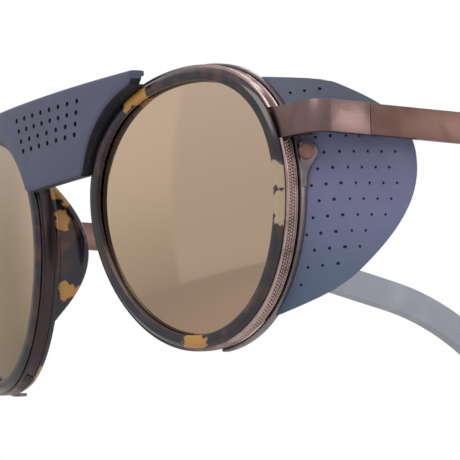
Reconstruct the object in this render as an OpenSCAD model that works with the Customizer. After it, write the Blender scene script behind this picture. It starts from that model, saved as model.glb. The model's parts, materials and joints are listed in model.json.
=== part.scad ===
// Glacier glasses: tortoise rims in bronze metal rings, mirrored lenses, a perforated
// cover over the bridge, and a perforated leather shield at each side.
// The front faces -Y, +X is the wearer's left and +Z is up. The glasses stand on the
// bottoms of their two rings and on their two temple tips.

/* [Lenses and rims] */
// Mean radius of a lens opening
opening_r = 24.7; // [24:0.1:25.2]
// Distance from the middle of the front to a lens centre
lens_x = 36.9; // [36.5:0.1:37.5]
// Angle that each rim turns back towards its temple
wrap = 11; // [9:0.5:12]
// Thickness of a lens
lens_t = 2; // [1.6:0.1:2.1]
// Radius of a lens's front surface
lens_curve = 150; // [140:5:200]
// Width of the tortoise rim's front face
rim_w = 2.5; // [2.2:0.1:2.6]
// Outer edge of the metal ring, measured out from the lens opening
ring_out = 3.2; // [3:0.1:3.3]

/* [Bridge] */
// Half width of the bridge cover along its top edge
cover_x = 28.8; // [28:0.2:34]
// Height of the bridge cover's bottom edge above the lens centres
cover_low = 9.9; // [9:0.1:11]
// Thickness of the bridge cover's wall
cover_wall = 1.3; // [1:0.1:1.5]
// Depth of the bridge cover from front to back
cover_depth = 2.8; // [2.4:0.1:2.8]

/* [Temples] */
// Distance from the middle of the front to a temple's outer face
temple_x = 72; // [71.5:0.1:73]
// Height of the temple plate
temple_h = 6; // [5.5:0.1:6.2]
// Thickness of the temple plate
temple_t = 1.5; // [1.3:0.1:1.6]
// Downward slope of the temples
slope = 4; // [3:0.5:5]
// Straight length from the hinge to the long bend over the ear
straight_len = 54; // [52:1:58]
// Angle of the long bend over the ear
ear_angle = 12; // [10:1:14]
// Angle of the last bend, towards the tip
tip_angle = 34; // [30:1:36]
// Height of the sleeve over the temple's end
sleeve_h = 6.6; // [6.2:0.1:7]
// Thickness of the sleeve
sleeve_t = 3.2; // [3:0.1:3.6]

/* [Side shields] */
// Thickness of the leather
leather_t = 1; // [0.8:0.1:1.1]
// Distance from the middle of the front to the flat part of a shield
shield_x = 66.3; // [66:0.1:66.4]

/* [Hidden] */
$fn = 48;

left = 1;
right = -1;

bronze = [0.66, 0.5, 0.43];
tortoise = [0.2, 0.15, 0.16];
slate = [0.36, 0.38, 0.47];
mirror_tan = [0.68, 0.56, 0.44];

fit_gap = 0.02;        // gap between parts that are pressed or screwed together
lens_y = 3;            // depth of a lens edge at the lens centre
outline_step = 5;      // degrees between the points of a rim outline

// Depths in the rim's own frame, measured back from the lens's front edge
rim_front = -1.3;      // front face of the tortoise rim
lip_back = -0.35;      // back of the rim's front lip
ring_front = -0.3;     // front of the metal ring
ring_back = 2.6;       // back of the metal ring
rim_back = 3.7;        // back of the tortoise rim
groove = [-0.2, 2.3];  // the slot that holds the lens
bracket_y = [2.9, 4.7];

// Widths, measured out from the lens opening
lens_lip = 0.8;        // how far the lens reaches into its slot
core_out = 1.8;        // the rim's core, inside the metal ring
ring_in = core_out + fit_gap;
back_lip = 2.4;
bracket_in = 2.8;
bracket_out = 3.5;

// The opening is round, a little flat above the nose and below the temple.
function opening(a) =
    opening_r * (1 + 0.036 * sin(3 * a - 30) - 0.015 * sin(2 * a + 20) - 0.01 * cos(4 * a));
function rim_dot(a, out) = (opening(a) + out) * [cos(a), sin(a)];
function rim_arc(out, from, to) =
    [for (a = [from:(to > from ? outline_step : -outline_step):to]) rim_dot(a, out)];
function rim_outline(out) = rim_arc(out, 0, 360 - outline_step);
function rim_strip(inside, outside, from, to) =
    concat(rim_arc(outside, from, to), rim_arc(inside, to, from));

// A point of the rim's frame, as [x, y, z] of the front's frame
function rim_point(u, y, v) =
    [lens_x + u * cos(wrap) - y * sin(wrap), lens_y + u * sin(wrap) + y * cos(wrap), v];

// The hinge, and the temple's line in its own frame: y runs back from the hinge
hinge_gap = 0.05;
knuckle_r = 1.3;
pin_r = 0.6;
screw_head = [1.1, 0.5];               // radius and thickness
barrel_z = 2.4;                        // half the height of the whole hinge
split_z = 0.8;                         // half the height of the temple's knuckle
leaf_t = 0.8;
leaf_y = [1.45, 8.5];                  // where a leaf starts and ends along the plate
plate_in = temple_x - temple_t;
hinge_off = 1.7;                       // from the hinge's axis to the temple's inner face
hinge_x = plate_in - hinge_off;
hinge_y = 22.3;
hinge_z = 11.2;
ear_len = 22;
mid_len = 32;
tip_len = 37;
sleeve_from = 70;
core_h = 3;
core_t = 1.1;
core_stop = 8;
ear_r = ear_len / ear_angle * 180 / PI;
tip_r = tip_len / tip_angle * 180 / PI;
temple_len = straight_len + ear_len + mid_len + tip_len;
sleeve_x = temple_x - temple_t / 2;

// [y, z, downward angle] after an arc of radius r and then a straight length
function bend(p, r, angle) = [p.x + r * (sin(p.z + angle) - sin(p.z)),
    p.y + r * (cos(p.z + angle) - cos(p.z)), p.z + angle];
function ahead(p, s) = [p.x + s * cos(p.z), p.y - s * sin(p.z), p.z];
ear_start = [straight_len, 0, 0];
ear_end = bend(ear_start, ear_r, ear_angle);
tip_start = ahead(ear_end, mid_len);
function temple_at(s) =
    s <= straight_len ? [s, 0, 0]
    : s <= straight_len + ear_len ? bend(ear_start, ear_r, (s - straight_len) / ear_r * 180 / PI)
    : s <= straight_len + ear_len + mid_len ? ahead(ear_end, s - straight_len - ear_len)
    : bend(tip_start, tip_r, (s - straight_len - ear_len - mid_len) / tip_r * 180 / PI);
function temple_edge(s, up) =
    let (p = temple_at(s)) [p.x + up * sin(p.z), p.y + up * cos(p.z)];
function temple_band(from, to, h) = let (
    steps = ceil((to - from) / 3),
    along = [for (i = [0:steps]) from + (to - from) * i / steps])
    concat([for (s = along) temple_edge(s, h / 2)],
        [for (i = [steps:-1:0]) temple_edge(along[i], -h / 2)]);

// Where everything stands: on the rings' lowest points, centred from front to back
ring_low = max([for (a = [180:1:360]) -(opening(a) + ring_out) * sin(a)]);
tip_end = temple_at(temple_len);
tip_back = hinge_y + tip_end.x * cos(slope) + tip_end.y * sin(slope) + sleeve_h / 2;
cover_front = -5.5;
cover_curve = 185;
stand_y = -(cover_front + tip_back) / 2;
stand_z = ring_low;

// The endpiece's plate, seen from above: a leg along the rim, a bend, and a leg to the hinge
bend_r = 4.3;
plate_front = 0.1;                     // the endpiece's face in the rim's frame
bend_x = temple_x - bend_r;
bend_y = (bend_r + plate_front + (bend_x - lens_x) * sin(wrap)) / cos(wrap) + lens_y;
leg = 12;
endpiece_h = 6.2;
bend_steps = 24;
function leg_end(out) = [bend_x - leg * cos(wrap) + out * sin(wrap),
    bend_y - leg * sin(wrap) - out * cos(wrap)];
function bend_dot(r, i) = let (a = (wrap - 90) * (1 - i / bend_steps))
    [bend_x + r * cos(a), bend_y + r * sin(a)];
endpiece_plan = concat([leg_end(bend_r)], [for (i = [0:bend_steps]) bend_dot(bend_r, i)],
    [[temple_x, hinge_y - hinge_gap], [plate_in, hinge_y - hinge_gap]],
    [for (i = [bend_steps:-1:0]) bend_dot(bend_r - temple_t, i)],
    [leg_end(bend_r - temple_t)]);

// The ring's lock, in the rim's frame
lock_u = [28.7, 31.2];
lock_y = [1.95, 4.5];
lock_v = [9.6, 14.8];
lock_mid = (lock_v[0] + lock_v[1]) / 2;
lock_gap = 0.3;
lock_arm = 0.95;
lock_pin_y = 3.2;

// Bridge cover: its sides follow the rims, its top is straight
cover_top = 28;
cover_side = 2.6;
cover_corner = 26.4;
flange_t = 1.05;
flange_back = 0.3;
bar_z = [13.4, 17.4];
bar_y = [cover_front + cover_depth + 0.6, 0.1];   // the cover's back curves 0.55 over the bar
stud_x = 7;
stud_z = (bar_z[0] + bar_z[1]) / 2;
stud_r = 1;
stud_head_r = 1.7;
stud_head_t = 0.7;
function cover_edge(inset, last) = concat(
    [for (a = [158:-6:last]) let (d = rim_dot(a, cover_side + inset))
        [lens_x + d.x * cos(wrap), d.y]],
    [[cover_x - 2 * inset, cover_corner], [cover_x - 2 * inset, cover_top - inset]]);
function mirrored(points) =
    [for (i = [len(points) - 1:-1:0]) [-points[i].x, points[i].y]];
function cover_outline(inset, last) = let (edge = cover_edge(inset, last))
    concat([[edge[0].x - 0.8, cover_low + inset]], edge, mirrored(edge),
        [[0.8 - edge[0].x, cover_low + inset]]);

// Side shields: the free edge is two smooth curves, seen from the side as [y, z]
shield_flat = 18.6;                    // where the leather comes out flat
shield_split = 16.8;                   // where the fixed part ends
flap_start = hinge_y + 0.5;            // where the moving part starts
shield_in = 1.3;                       // middle of the leather at the rim
shield_rows = [-66:4:66];
shield_cols = 6;
function bezier(p, t) = pow(1 - t, 3) * p[0] + 3 * pow(1 - t, 2) * t * p[1]
    + 3 * (1 - t) * t * t * p[2] + pow(t, 3) * p[3];
upper_edge = [[9.4, 24.2], [14, 18.2], [36.5, 17.5], [36.2, 4.5]];
lower_edge = [[36.2, 4.5], [36.4, -6], [25, -14.5], [8.5, -24.6]];
shield_outline = concat([[5, 27], [8, 25.4]], [for (t = [0:0.1:1]) bezier(upper_edge, t)],
    [for (t = [0.1:0.1:1]) bezier(lower_edge, t)], [[8, -25.4], [5, -27]]);
// The leather leaves the rim along its curve and eases out to a flat side
function shield_ease(t) = t * (1.5 - 0.5 * t * t);
function shield_point(a, t, thick) = let (
    d = rim_dot(a, shield_in),
    p = rim_point(d.x, rim_back + 0.16, d.y))
    [p.x + (shield_x - p.x) * shield_ease(t) + thick, p.y + (shield_flat - p.y) * t, p.z];

// Rivet frame: at the middle of the leather, x points out through the rivet's head
rivet_a = 14;
rivet_t = 0.25;
rivet_turn = -36;
rivet_at = shield_point(rivet_a, rivet_t, 0);
lobe_r = 2.2;
head_r = 1.5;
shank_r = 0.7;
leather_half = 0.74;   // clears the slanted leather on each side
lobe_t = 0.7;
head_t = 0.6;
washer_r = 1.5;
washer_t = 0.6;
tail = [1, 0.5];       // radius and thickness of the rivet's closed end

module stand() { translate([0, stand_y, stand_z]) children(); }

module on_side(s) {
    if (s > 0) children();
    else mirror([1, 0, 0]) children();
}

module in_rim() { translate([lens_x, lens_y, 0]) rotate([0, 0, wrap]) children(); }

// A flat outline seen from the front, made solid between two depths
module between(depths) {
    translate([0, depths[1], 0]) rotate([90, 0, 0])
        linear_extrude(depths[1] - depths[0]) children();
}

// An outline seen from the side, made solid between two distances from the middle
module sideways(from, to) {
    translate([from, 0, 0]) rotate([90, 0, 90]) linear_extrude(to - from) children();
}

module in_temple() { translate([0, hinge_y, hinge_z]) rotate([-slope, 0, 0]) children(); }

module at_rivet() { translate(rivet_at) rotate([0, 0, rivet_turn]) children(); }

module rod(r, from, to) {
    translate([from, 0, 0]) rotate([0, 90, 0]) cylinder(r = r, h = to - from);
}

module lens(s) {
    edge_r = opening_r + lens_lip;
    centre = sqrt(pow(lens_curve, 2) - pow(edge_r, 2)) + 0.1;
    color(mirror_tan) stand() on_side(s) in_rim() intersection() {
        between([-6, 6]) polygon(rim_outline(lens_lip));
        translate([0, centre, 0]) difference() {
            sphere(r = lens_curve);
            sphere(r = lens_curve - lens_t);
        }
    }
}

// The nose pad grows out of the back of the rim, on the side of the nose
module nose_pad() {
    crest = [-27.2, 8.2, -3.3];
    base_r = 0.55;
    for (ends = [[158, 184], [184, 216]]) hull() {
        for (a = ends) translate([rim_dot(a, 1.2).x, rim_back - base_r, rim_dot(a, 1.2).y])
            sphere(r = base_r, $fn = 24);
        translate(crest) sphere(r = 1.3, $fn = 24);
    }
}

module acetate_rim(s) {
    color(tortoise) stand() on_side(s) in_rim() difference() {
        union() {
            between([rim_front, lip_back]) polygon(rim_outline(rim_w));
            between([lip_back, rim_back]) polygon(rim_outline(core_out));
            between([ring_back + 0.05, rim_back]) polygon(rim_outline(back_lip));
            nose_pad();
        }
        between([-6, 14]) polygon(rim_outline(0));
        between(groove) polygon(rim_outline(lens_lip + 0.1));
    }
}

module endpiece_solid(grow) {
    in_temple() translate([0, -hinge_y, -endpiece_h / 2 - grow])
        linear_extrude(endpiece_h + 2 * grow) polygon(endpiece_plan);
}

module endpiece(s) {
    color(bronze) stand() on_side(s) difference() {
        endpiece_solid(0);
        in_rim() between([-6, 6]) polygon(rim_outline(core_out + fit_gap));
    }
}

module metal_ring(s) {
    color(bronze) stand() on_side(s) difference() {
        in_rim() difference() {
            between([ring_front, ring_back]) polygon(rim_outline(ring_out));
            between([-6, 6]) polygon(rim_outline(ring_in));
            translate([20, -6, lock_mid - lock_gap / 2]) cube([12, 12, lock_gap]);
        }
        for (ahead = [0, ring_front - plate_front - 0.2]) translate([0, ahead, 0])
            endpiece_solid(fit_gap);
    }
}

// Two halves, one at each end of the split ring, drawn together by a screw
module ring_lock(s) {
    color(bronze) stand() on_side(s) in_rim() difference() {
        union() {
            translate([lock_u[0], lock_y[0], lock_v[0]])
                cube([lock_u[1] - lock_u[0], lock_y[1] - lock_y[0], lock_v[1] - lock_v[0]]);
            translate([20, lock_y[0], lock_v[0] + 0.4])
                cube([lock_u[1] - 20, lock_arm, lock_v[1] - lock_v[0] - 0.8]);
        }
        between([-6, 6]) polygon(rim_outline(ring_out));
        translate([20, 0, lock_mid - lock_gap / 2]) cube([12, 6, lock_gap]);
        translate([(lock_u[0] + lock_u[1]) / 2, lock_pin_y, lock_v[0] - 1])
            cylinder(r = pin_r + fit_gap, h = 8);
    }
}

module lock_screw(s) {
    color(bronze) stand() on_side(s) in_rim()
        translate([(lock_u[0] + lock_u[1]) / 2, lock_pin_y, lock_v[0]]) {
            cylinder(r = pin_r, h = lock_v[1] - lock_v[0]);
            translate([0, 0, -screw_head[1]])
                cylinder(r = screw_head[0], h = screw_head[1]);
        }
}

module bridge_bar() {
    color(bronze) stand() difference() {
        translate([-20, bar_y[0], bar_z[0]])
            cube([40, bar_y[1] - bar_y[0], bar_z[1] - bar_z[0]]);
        for (s = [left, right]) on_side(s) in_rim()
            between([-9, 9]) polygon(rim_outline(ring_out));
        for (x = [-stud_x, stud_x]) translate([x, -6, stud_z])
            rotate([-90, 0, 0]) cylinder(r = stud_r + fit_gap, h = 12);
    }
}

// Everything behind a gently curved face
module behind_curve(front) {
    translate([0, cover_curve + front, -2]) cylinder(r = cover_curve, h = 40, $fn = 180);
}

// A shallow tray that faces back, with a flange that folds over the tops of the rims
module bridge_cover() {
    color(slate) stand() {
        difference() {
            intersection() {
                between([-9, 4]) polygon(cover_outline(0, 110));
                behind_curve(cover_front);
            }
            behind_curve(cover_front + cover_depth);
            intersection() {
                between([-9, 6]) polygon(cover_outline(cover_wall, 122));
                behind_curve(cover_front + cover_wall);
            }
        }
        intersection() {
            translate([-cover_x, -9, cover_top - flange_t])
                cube([2 * cover_x, 9 + flange_back, flange_t]);
            behind_curve(cover_front);
        }
    }
}

// Each stud's wide foot is bonded inside the cover, and its head is closed behind the bar
module bridge_studs() {
    foot = cover_front + cover_wall + 0.3;
    foot_t = bar_y[0] - fit_gap - foot;
    head = bar_y[1] + fit_gap;
    color(bronze) stand() for (x = [-stud_x, stud_x])
        translate([x, 0, stud_z]) rotate([-90, 0, 0]) {
            translate([0, 0, foot]) cylinder(r = stud_head_r, h = foot_t);
            translate([0, 0, foot]) cylinder(r = stud_r, h = head + stud_head_t - foot);
            translate([0, 0, head]) cylinder(r = stud_head_r, h = stud_head_t);
        }
}

module knuckles(levels, r) {
    for (z = levels) translate([hinge_x, 0, z[0]]) cylinder(r = r, h = z[1] - z[0]);
}

// One half of the hinge: knuckles, the webs that carry them, and a leaf on the plate.
// way is -1 towards the front and 1 towards the temple.
module hinge_half(levels, bore, way) {
    web = leaf_y[0] + 0.6;
    difference() {
        union() {
            knuckles(levels, knuckle_r);
            for (z = levels) translate([hinge_x, way > 0 ? 0 : -web, z[0]])
                cube([hinge_off, web, z[1] - z[0]]);
            translate([plate_in - leaf_t, way > 0 ? leaf_y[0] : -leaf_y[1], -barrel_z])
                cube([leaf_t, leaf_y[1] - leaf_y[0], 2 * barrel_z]);
        }
        translate([hinge_x, 0, -2 * barrel_z]) cylinder(r = bore, h = 4 * barrel_z);
    }
}

module hinge_front(s) {
    near = split_z + hinge_gap;
    color(bronze) stand() on_side(s) in_temple()
        hinge_half([[-barrel_z, -near], [near, barrel_z]], pin_r + fit_gap, -1);
}

module hinge_rear(s) {
    color(bronze) stand() on_side(s) in_temple()
        hinge_half([[-split_z, split_z]], pin_r + 0.05, 1);
}

module hinge_screw(s) {
    color(bronze) stand() on_side(s) in_temple() translate([hinge_x, 0, 0]) {
        translate([0, 0, -barrel_z]) cylinder(r = pin_r, h = 2 * barrel_z + 2 * fit_gap);
        translate([0, 0, barrel_z + fit_gap])
            cylinder(r = screw_head[0], h = screw_head[1]);
    }
}

module temple(s) {
    color(bronze) stand() on_side(s) in_temple() {
        sideways(plate_in, temple_x) polygon(temple_band(hinge_gap, sleeve_from, temple_h));
        sideways(sleeve_x - core_t / 2, sleeve_x + core_t / 2)
            polygon(temple_band(sleeve_from - 1, temple_len - core_stop, core_h));
    }
}

module temple_tip(s) {
    color(slate) stand() on_side(s) in_temple() difference() {
        union() {
            sideways(sleeve_x - sleeve_t / 2, sleeve_x + sleeve_t / 2)
                polygon(temple_band(sleeve_from + fit_gap, temple_len, sleeve_h));
            sideways(sleeve_x - sleeve_t / 2, sleeve_x + sleeve_t / 2)
                translate([tip_end.x, tip_end.y]) circle(d = sleeve_h);
        }
        sideways(sleeve_x - core_t / 2 - fit_gap, sleeve_x + core_t / 2 + fit_gap)
            polygon(temple_band(sleeve_from - 1, temple_len - core_stop + fit_gap,
                core_h + 2 * fit_gap));
    }
}

// The fixed part of a shield, as a sheet between its inner and its outer face
module shield_sheet() {
    rows = len([for (a = shield_rows) a]);
    cols = shield_cols + 1;
    face = rows * cols;
    points = [for (thick = [-leather_t / 2, leather_t / 2], a = shield_rows,
        c = [0:shield_cols]) shield_point(a, c / shield_cols, thick)];
    inner = [for (i = [0:rows - 2], c = [0:cols - 2]) let (k = i * cols + c)
        [k, k + 1, k + cols + 1, k + cols]];
    outer = [for (q = inner) [q[3] + face, q[2] + face, q[1] + face, q[0] + face]];
    edge = concat([for (c = [0:cols - 1]) c],
        [for (i = [1:rows - 1]) i * cols + cols - 1],
        [for (c = [cols - 2:-1:0]) (rows - 1) * cols + c],
        [for (i = [rows - 2:-1:1]) i * cols]);
    rim = [for (i = [0:len(edge) - 1]) let (a = edge[i], b = edge[(i + 1) % len(edge)])
        [b, a, a + face, b + face]];
    polyhedron(points, concat(inner, outer, rim), convexity = 4);
}

module shield_front(s) {
    color(slate) stand() on_side(s) difference() {
        intersection() {
            shield_sheet();
            sideways(40, 80) polygon(shield_outline);
            translate([40, -40, -40]) cube([40, 40 + shield_split, 80]);
        }
        at_rivet() rod(shank_r + fit_gap, -4, 4);
    }
}

module shield_flap(s) {
    color(slate) stand() on_side(s) intersection() {
        sideways(shield_x - leather_t / 2, shield_x + leather_t / 2) polygon(shield_outline);
        translate([40, flap_start, -40]) cube([40, 40, 80]);
    }
}

// A strip round the leather's edge, with a lobe that carries the rivet
module shield_bracket(s) {
    strip = rim_dot(rivet_a, (bracket_in + bracket_out) / 2);
    root = [0.4, 0.5, 4];
    color(bronze) stand() on_side(s) difference() {
        union() {
            in_rim() between(bracket_y) polygon(rim_strip(bracket_in, bracket_out, -85, 90));
            at_rivet() rod(lobe_r, leather_half, leather_half + lobe_t);
            hull() {
                at_rivet() rod(lobe_r * 0.8, leather_half, leather_half + lobe_t);
                in_rim() translate([strip.x - root.x / 2, bracket_y[1] - root.y - 0.1,
                    strip.y - root.z / 2]) cube(root);
            }
        }
        in_rim() between([0, bracket_y[1] + fit_gap]) polygon(rim_outline(bracket_in - fit_gap));
        at_rivet() rod(shank_r + fit_gap, -4, 4);
        at_rivet() rod(head_r + 0.1, leather_half + lobe_t, 4);
    }
}

module shield_rivet(s) {
    head = leather_half + lobe_t + fit_gap;
    foot = leather_half + washer_t + fit_gap;
    color([0.72, 0.5, 0.44]) stand() on_side(s) at_rivet() {
        rod(shank_r, -foot - tail[1], head + head_t);
        rod(head_r, head, head + head_t);
        rod(tail[0], -foot - tail[1], -foot);
    }
}

module rivet_washer(s) {
    color(bronze) stand() on_side(s) at_rivet() difference() {
        rod(washer_r, -leather_half - washer_t, -leather_half);
        rod(shank_r + fit_gap, -4, 4);
    }
}

lens(left);  // lens_l
lens(right);  // lens_r
acetate_rim(left);  // acetate_rim_l
acetate_rim(right);  // acetate_rim_r
metal_ring(left);  // metal_ring_l
metal_ring(right);  // metal_ring_r
ring_lock(left);  // ring_lock_l
ring_lock(right);  // ring_lock_r
lock_screw(left);  // lock_screw_l
lock_screw(right);  // lock_screw_r
bridge_bar();
bridge_cover();
bridge_studs();
endpiece(left);  // endpiece_l
endpiece(right);  // endpiece_r
hinge_front(left);  // hinge_front_l
hinge_front(right);  // hinge_front_r
hinge_screw(left);  // hinge_screw_l
hinge_screw(right);  // hinge_screw_r
hinge_rear(left);  // hinge_rear_l
hinge_rear(right);  // hinge_rear_r
shield_front(left);  // shield_front_l
shield_front(right);  // shield_front_r
shield_flap(left);  // shield_flap_l
shield_flap(right);  // shield_flap_r
shield_bracket(left);  // shield_bracket_l
shield_bracket(right);  // shield_bracket_r
shield_rivet(left);  // shield_rivet_l
shield_rivet(right);  // shield_rivet_r
rivet_washer(left);  // rivet_washer_l
rivet_washer(right);  // rivet_washer_r
temple(left);  // temple_l
temple(right);  // temple_r
temple_tip(left);  // temple_tip_l
temple_tip(right);  // temple_tip_r
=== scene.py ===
"""Glacier glasses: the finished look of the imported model.

The sizes are in millimetres, in the frame of the glasses' front: the front faces -Y, +X is the
wearer's left, +Z is up, and the lens centres lie at z = 0. Each piece is built there on the left side,
mirrored for the right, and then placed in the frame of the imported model, in metres.
"""

import json
import logging
import math
from dataclasses import dataclass
from enum import Enum
from functools import cache
from typing import Sequence

import bmesh
import bpy
from mathutils import Matrix, Vector


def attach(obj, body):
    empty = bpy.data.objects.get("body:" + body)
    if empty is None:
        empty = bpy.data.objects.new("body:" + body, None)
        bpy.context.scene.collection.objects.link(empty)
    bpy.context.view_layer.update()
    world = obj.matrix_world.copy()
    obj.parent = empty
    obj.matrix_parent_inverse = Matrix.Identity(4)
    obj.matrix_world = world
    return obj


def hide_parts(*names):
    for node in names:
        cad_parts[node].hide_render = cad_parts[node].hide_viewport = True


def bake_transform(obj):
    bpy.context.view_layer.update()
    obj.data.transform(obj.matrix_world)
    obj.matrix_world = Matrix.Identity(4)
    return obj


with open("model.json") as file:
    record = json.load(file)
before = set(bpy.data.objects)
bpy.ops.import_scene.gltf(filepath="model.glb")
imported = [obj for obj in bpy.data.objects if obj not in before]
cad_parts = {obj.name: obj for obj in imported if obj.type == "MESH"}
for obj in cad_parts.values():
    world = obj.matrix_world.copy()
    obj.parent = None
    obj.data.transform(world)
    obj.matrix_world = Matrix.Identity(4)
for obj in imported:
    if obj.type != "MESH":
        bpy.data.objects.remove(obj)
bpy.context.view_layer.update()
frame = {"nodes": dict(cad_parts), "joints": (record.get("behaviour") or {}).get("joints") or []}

log = logging.getLogger("glacier_glasses")

MM = 0.001
MERGE = 1e-4
FULL_TURN = 2 * math.pi
HINGE = Vector((68.8, 22.3, 11.2))

Section = Sequence[tuple[float, float]]


class Side(Enum):
    """A side of the glasses, as the wearer has it."""

    LEFT = 1
    RIGHT = -1

    @property
    def letter(self) -> str:
        """The letter that ends the names of this side's nodes."""
        return "l" if self is Side.LEFT else "r"

    @property
    def temple(self) -> str:
        """The body that this side's temple belongs to."""
        return "temple_left" if self is Side.LEFT else "temple_right"


class Join(Enum):
    """The ways that two closed shapes are combined."""

    UNION = "UNION"
    DIFFERENCE = "DIFFERENCE"


# ---------------------------------------------------------------------------------------------
# The rims' shape and the places of things
# ---------------------------------------------------------------------------------------------


@dataclass(frozen=True)
class RimShape:
    """The outline that the lens, the rim and the ring share, and where it stands."""

    lens_x: float = 36.9
    lens_y: float = 3.0
    wrap: float = math.radians(11)
    mean_radius: float = 24.7

    def opening(self, angle: float) -> float:
        """Returns the radius of the lens opening.

        Args:
            angle: The direction from the lens centre, in radians, from the temple's side upwards.

        Returns:
            The radius in millimetres.
        """
        flat = 0.036 * math.sin(3 * angle - math.radians(30))
        lean = 0.015 * math.sin(2 * angle + math.radians(20))
        square = 0.01 * math.cos(4 * angle)
        return self.mean_radius * (1 + flat - lean - square)

    def on_rim(self, angle: float, out: float, depth: float) -> Vector:
        """Returns a point of the rim's own frame, given its angle, its distance out and its depth."""
        radius = self.opening(angle) + out
        return Vector((radius * math.cos(angle), depth, radius * math.sin(angle)))

    def in_front(self, point: Vector) -> Vector:
        """Returns a point of the rim's own frame in the frame of the glasses' front."""
        return self.placing() @ point

    def placing(self) -> Matrix:
        """Returns the matrix from the left rim's own frame to the frame of the front."""
        centre = Matrix.Translation((self.lens_x, self.lens_y, 0))
        return centre @ Matrix.Rotation(self.wrap, 4, "Z")


RIM = RimShape()


def front_matrix(side: Side = Side.LEFT) -> Matrix:
    """Returns the matrix from the front's frame, in millimetres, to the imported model's, in metres.

    Args:
        side: The side that the piece is for; the right one is mirrored.
    """
    joint = next(j for j in frame["joints"] if j["name"] == "left_hinge")
    origin = Vector(joint["pos_m"]) - HINGE * MM
    return Matrix.Translation(origin) @ Matrix.Diagonal((side.value * MM, MM, MM, 1))


def rim_matrix(side: Side) -> Matrix:
    """Returns the matrix from a rim's own frame, in millimetres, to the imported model's."""
    return front_matrix(side) @ RIM.placing()


def row_point(x: float, y: float, z: float, side: Side = Side.LEFT) -> Vector:
    """Returns a point of the front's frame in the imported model's frame."""
    return front_matrix(side) @ Vector((x, y, z))


# ---------------------------------------------------------------------------------------------
# The workshop: ways to make and finish a mesh
# ---------------------------------------------------------------------------------------------


def bevel_edges(bm: bmesh.types.BMesh, edges: list, width: float, segments: int) -> None:
    """Rounds edges.

    Args:
        bm: The mesh, in millimetres.
        edges: The edges to round.
        width: The width of the round.
        segments: How many strips make it up.
    """
    bmesh.ops.bevel(
        bm, geom=edges, offset=width, offset_type="OFFSET", segments=segments,
        profile=0.5, affect="EDGES", clamp_overlap=True, material=-1,
    )


def outline_face(bm: bmesh.types.BMesh, points: Sequence[Vector], rounding: float = 0.0):
    """Makes a face from an outline, and rounds its corners if asked.

    Args:
        bm: The mesh that gets the face.
        points: The corners, in order.
        rounding: The size of each corner's round.

    Returns:
        The face.
    """
    corners = [bm.verts.new(p) for p in points]
    bm.faces.new(corners)
    if rounding:
        bmesh.ops.bevel(
            bm, geom=corners, offset=rounding, offset_type="OFFSET", segments=2,
            profile=0.5, affect="VERTICES", clamp_overlap=True, material=-1,
        )
    bm.faces.ensure_lookup_table()
    return bm.faces[-1]


def extrude_face(bm: bmesh.types.BMesh, face, by: Vector) -> list:
    """Extrudes a face into a solid and returns the vertices of its far end."""
    made = bmesh.ops.extrude_face_region(bm, geom=[face], use_keep_orig=True)["geom"]
    moved = [g for g in made if isinstance(g, bmesh.types.BMVert)]
    bmesh.ops.translate(bm, verts=moved, vec=by)
    bmesh.ops.recalc_face_normals(bm, faces=bm.faces)
    return moved


def spin_on_rim(section: Section, rounding: float, start: float = 0.0, sweep: float = FULL_TURN):
    """Spins a cross-section round the lens and fits it to the shape of the opening.

    Args:
        section: The corners as (distance out from the opening, depth).
        rounding: The size of the rounds on the section's corners.
        start: The angle at which the spin starts.
        sweep: The angle that it covers.

    Returns:
        A closed mesh in the rim's own frame.
    """
    bm = bmesh.new()
    corners = [Vector((RIM.mean_radius + out, depth, 0)) for out, depth in section]
    face = outline_face(bm, corners, rounding)
    bmesh.ops.delete(bm, geom=[face], context="FACES_ONLY")
    about = Vector((0, -1, 0))
    turn = Matrix.Rotation(start, 3, about)
    bmesh.ops.rotate(bm, cent=(0, 0, 0), matrix=turn, verts=bm.verts)
    full = sweep >= FULL_TURN
    bmesh.ops.spin(
        bm, geom=bm.verts[:] + bm.edges[:], cent=(0, 0, 0), axis=about,
        angle=sweep, steps=max(8, round(math.degrees(sweep) / 1.5)), use_merge=full,
    )
    if not full:
        ends = [e for e in bm.edges if e.is_boundary]
        bmesh.ops.holes_fill(bm, edges=ends, sides=0)
    fit_to_opening(bm)
    bmesh.ops.recalc_face_normals(bm, faces=bm.faces)
    return bm


def fit_to_opening(bm: bmesh.types.BMesh) -> None:
    """Moves each vertex of a round shape in or out, so that it follows the lens opening."""
    for v in bm.verts:
        radius = math.hypot(v.co.x, v.co.z)
        angle = math.atan2(v.co.z, v.co.x)
        scale = (RIM.opening(angle) + radius - RIM.mean_radius) / radius
        v.co.x *= scale
        v.co.z *= scale


def join_shapes(base: bmesh.types.BMesh, tool: bmesh.types.BMesh, how: Join) -> bmesh.types.BMesh:
    """Combines two closed meshes and frees both.

    Args:
        base: The shape that is kept.
        tool: The shape that is added or taken away.
        how: Which of the two.

    Returns:
        The new mesh.
    """
    objects = []
    for bm in (base, tool):
        mesh = bpy.data.meshes.new("blank")
        bm.to_mesh(mesh)
        bm.free()
        objects.append(new_object("blank", mesh))
    modifier = objects[0].modifiers.new("join", "BOOLEAN")
    modifier.operation = how.value
    modifier.solver = "EXACT"
    modifier.object = objects[1]
    result = bmesh.new()
    result.from_mesh(evaluated_mesh(objects[0]))
    for piece in objects:
        mesh = piece.data
        bpy.data.objects.remove(piece)
        bpy.data.meshes.remove(mesh)
    return result


def evaluated_mesh(piece: bpy.types.Object) -> bpy.types.Mesh:
    """Returns an object's mesh with its modifiers applied."""
    bpy.context.view_layer.update()
    graph = bpy.context.evaluated_depsgraph_get()
    return piece.evaluated_get(graph).to_mesh()


def add_cylinder(bm, radius: float, length: float, placing: Matrix, segments: int = 24) -> list:
    """Adds a closed cylinder along its own z axis, and returns its vertices."""
    made = bmesh.ops.create_cone(
        bm, cap_ends=True, cap_tris=False, segments=segments,
        radius1=radius, radius2=radius, depth=length, matrix=placing,
    )
    return made["verts"]


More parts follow.
